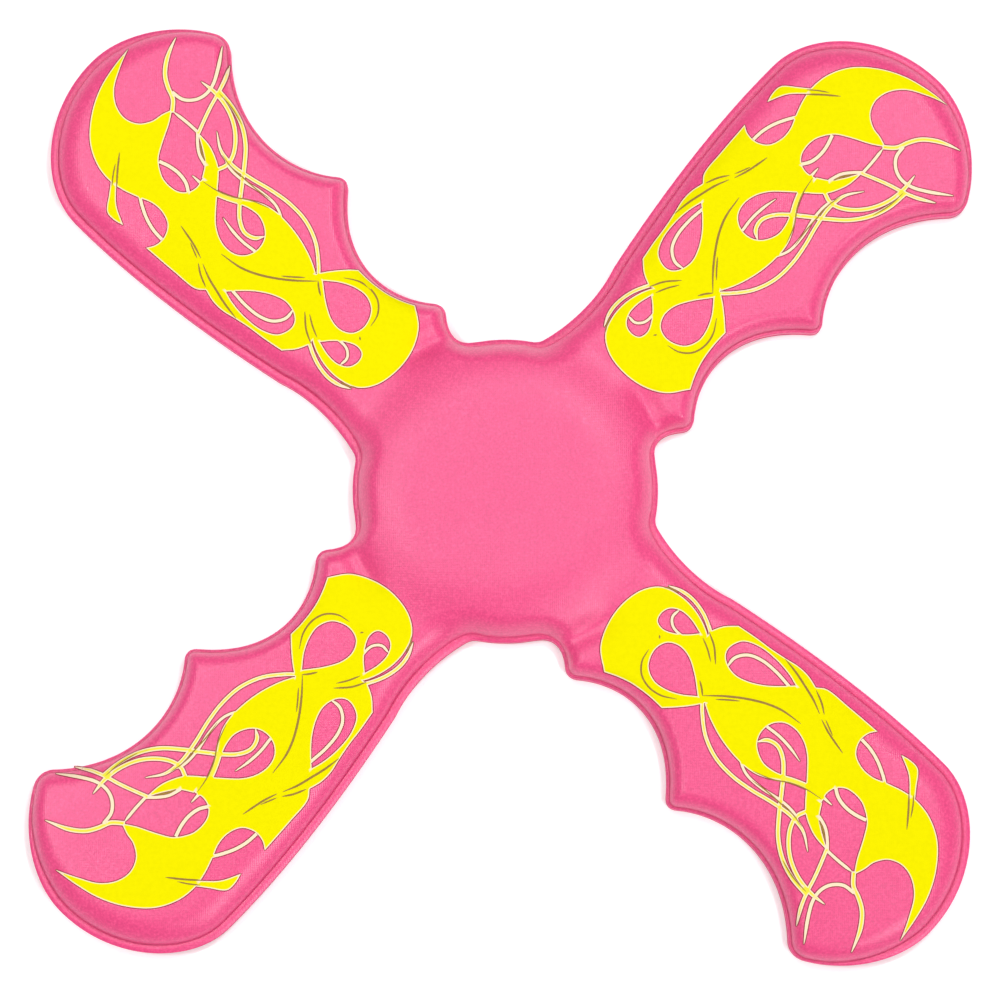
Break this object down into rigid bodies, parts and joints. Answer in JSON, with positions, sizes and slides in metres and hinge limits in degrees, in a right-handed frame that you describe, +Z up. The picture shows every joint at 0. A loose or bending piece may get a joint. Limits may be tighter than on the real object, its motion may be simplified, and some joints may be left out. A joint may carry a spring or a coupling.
{
  "type": "soft boomerang",
  "caption": "Soft cross-shaped throwing boomerang: puffed foam blades with scalloped trailing edges round a raised round hub, knit covered, flame prints.",
  "frame": {"origin": "on the hub's axis, at the flat underside", "axes": "+Z up through the hub, out of the printed face; the blades lie at 45, 135, 225 and 315 degrees from +X, each with its smooth leading edge on the anticlockwise side seen from above"},
  "size_m": [0.2488, 0.2488, 0.0139],
  "materials": {
    "pink_knit": "fine smooth polyester knit, soft satin sheen",
    "pink_knit_lower": "fine smooth polyester knit",
    "foam": "moulded closed-cell foam, matt",
    "foam_sheet": "die-cut closed-cell foam sheet, matt",
    "hot_melt_film": "thin translucent bond film",
    "yellow_print": "thin smooth heat-transfer print, pale edge"
  },
  "bodies": {
    "root": {"top_cover": "pink_knit", "bond_film_upper": "hot_melt_film", "foam_body": "foam", "bond_film_middle": "hot_melt_film", "foam_backing": "foam_sheet", "bond_film_lower": "hot_melt_film", "bottom_cover": "pink_knit_lower", "flame_print_1": "yellow_print", "flame_print_2": "yellow_print", "flame_print_3": "yellow_print", "flame_print_4": "yellow_print"}
  },
  "joints": []
}
